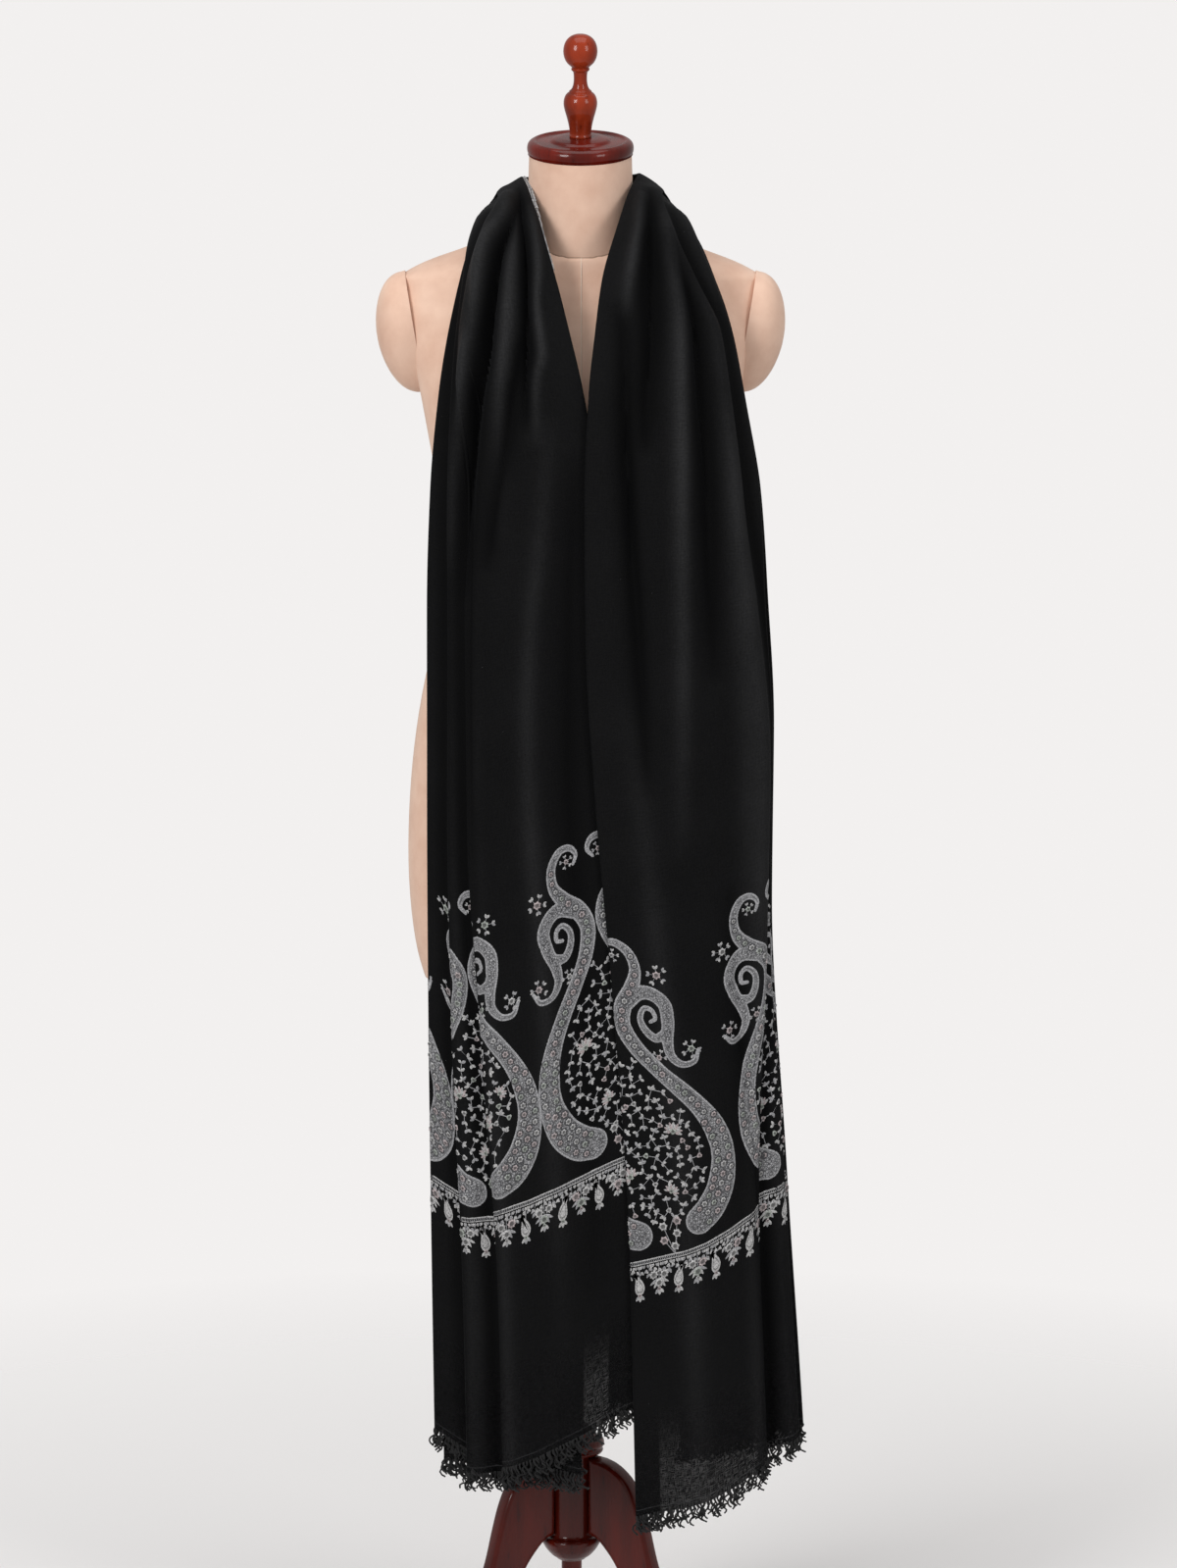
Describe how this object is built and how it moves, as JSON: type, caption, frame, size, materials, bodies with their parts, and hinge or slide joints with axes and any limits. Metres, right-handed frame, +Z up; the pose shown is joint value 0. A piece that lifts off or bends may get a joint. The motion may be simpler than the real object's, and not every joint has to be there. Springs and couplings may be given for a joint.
{
  "type": "pashmina shawl on a limbless dress form with a turned wooden stand",
  "caption": "Black pashmina shawl with pale embroidered ends and fringed hems, draped round the neck of a limbless dress form on a turned wooden tripod stand.",
  "frame": {"origin": "the floor under the middle of the whole object's bounding box", "axes": "+Z up, -Y towards the viewer who faces the shawl's two ends, +X to that viewer's right"},
  "size_m": [0.4576, 0.4084, 1.7371],
  "materials": {
    "black_wool": "matte black fine twill wool, with silver-grey needle embroidery at both ends",
    "cream_velvet": "cream-peach short-pile velvet",
    "red_wood": "glossy mahogany-stained turned wood"
  },
  "bodies": {
    "root": {"shawl_front_left": "black_wool", "shawl_back": "black_wool", "shawl_front_right": "black_wool", "fringe_left": "black_wool", "fringe_right": "black_wool", "form_torso": "cream_velvet", "form_neck": "cream_velvet", "form_shoulder_cap_left": "cream_velvet", "form_shoulder_cap_right": "cream_velvet", "neck_cap": "red_wood", "finial": "red_wood", "pole": "red_wood", "hub": "red_wood", "leg_left": "red_wood", "leg_right": "red_wood", "leg_back": "red_wood"}
  },
  "joints": []
}
